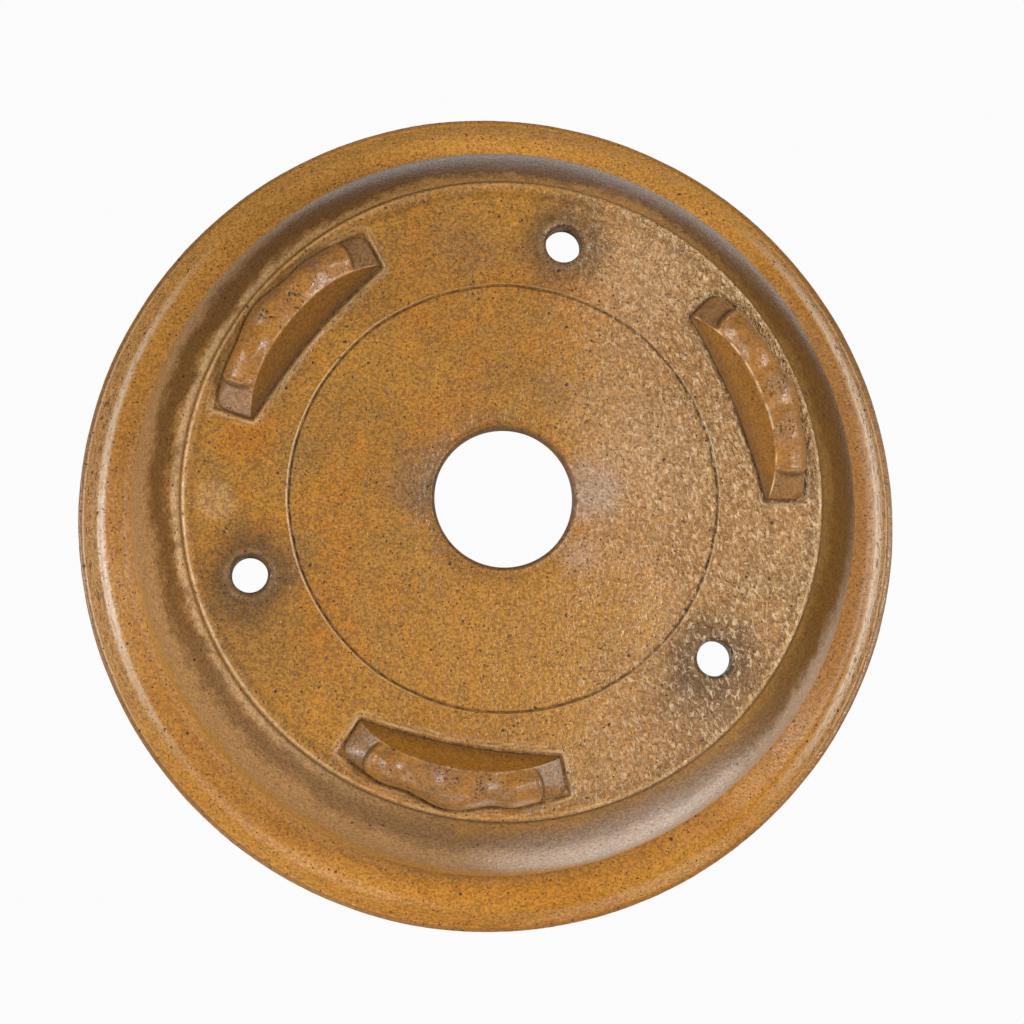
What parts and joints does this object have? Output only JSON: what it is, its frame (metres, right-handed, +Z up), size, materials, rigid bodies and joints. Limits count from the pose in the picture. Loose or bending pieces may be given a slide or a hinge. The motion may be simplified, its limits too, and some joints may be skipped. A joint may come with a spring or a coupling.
{
  "type": "round bonsai pot",
  "caption": "Shallow round unglazed stoneware pot with a bellied wall, a rolled rim, cloud-shaped feet, a centre drain hole and tie-wire holes.",
  "frame": {"origin": "on the ground under the centre of the pot, where the feet rest", "axes": "+Z up along the pot's axis, -Y through the middle of one foot"},
  "size_m": [0.375, 0.375, 0.1136],
  "materials": {
    "floor_clay": "unglazed ochre stoneware, fine grain, dark specks",
    "wall_clay": "unglazed stoneware, fire-darkened brown belly, satin",
    "rim_clay": "unglazed ochre stoneware, satin",
    "foot_clay": "burnished stoneware with worn contact patches"
  },
  "bodies": {
    "root": {"floor_slab": "floor_clay", "bowl_wall": "wall_clay", "rim_band": "rim_clay", "foot_1": "foot_clay", "foot_2": "foot_clay", "foot_3": "foot_clay"}
  },
  "joints": []
}
